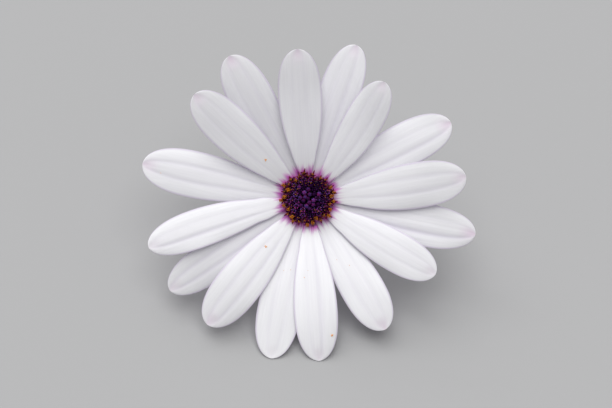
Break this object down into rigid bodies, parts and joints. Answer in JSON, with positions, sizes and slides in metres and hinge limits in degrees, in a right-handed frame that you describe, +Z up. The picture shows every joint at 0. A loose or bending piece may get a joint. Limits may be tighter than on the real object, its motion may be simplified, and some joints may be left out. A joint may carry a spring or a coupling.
{
  "type": "daisy",
  "caption": "White daisy, cut and lying on a surface: long overlapping petals round a domed dark purple disc, leaning on petal tips and a curved green stalk.",
  "frame": {"origin": "middle of the underside of the whole flower's box, on the surface that it lies on", "axes": "+Z up; +Y from the lowest petal tips towards the stalk's cut end; +X to the right as the face is seen"},
  "size_m": [0.0738, 0.0914, 0.0463],
  "materials": {
    "petal_white": "soft matt white with a cool lilac cast, fine lengthwise veins, thin enough to glow a little",
    "floret_purple": "dark violet, softly glossy, with orange-brown pollen on the outer florets",
    "bract_green": "matt leaf green with a pale thin margin",
    "stalk_green": "matt green with fine ribs and short hairs"
  },
  "bodies": {
    "root": {"petal_01": "petal_white", "petal_02": "petal_white", "petal_03": "petal_white", "petal_04": "petal_white", "petal_05": "petal_white", "petal_06": "petal_white", "petal_07": "petal_white", "petal_08": "petal_white", "petal_09": "petal_white", "petal_10": "petal_white", "petal_11": "petal_white", "petal_12": "petal_white", "petal_13": "petal_white", "petal_14": "petal_white", "petal_15": "petal_white", "petal_16": "petal_white", "floret_bud": "floret_purple", "floret_ring_1": "floret_purple", "floret_ring_2": "floret_purple", "floret_ring_3": "floret_purple", "floret_ring_4": "floret_purple", "bract_01": "bract_green", "bract_02": "bract_green", "bract_03": "bract_green", "bract_04": "bract_green", "bract_05": "bract_green", "bract_06": "bract_green", "bract_07": "bract_green", "bract_08": "bract_green", "bract_09": "bract_green", "bract_10": "bract_green", "bract_11": "bract_green", "bract_12": "bract_green", "bract_13": "bract_green", "stalk": "stalk_green"}
  },
  "joints": []
}
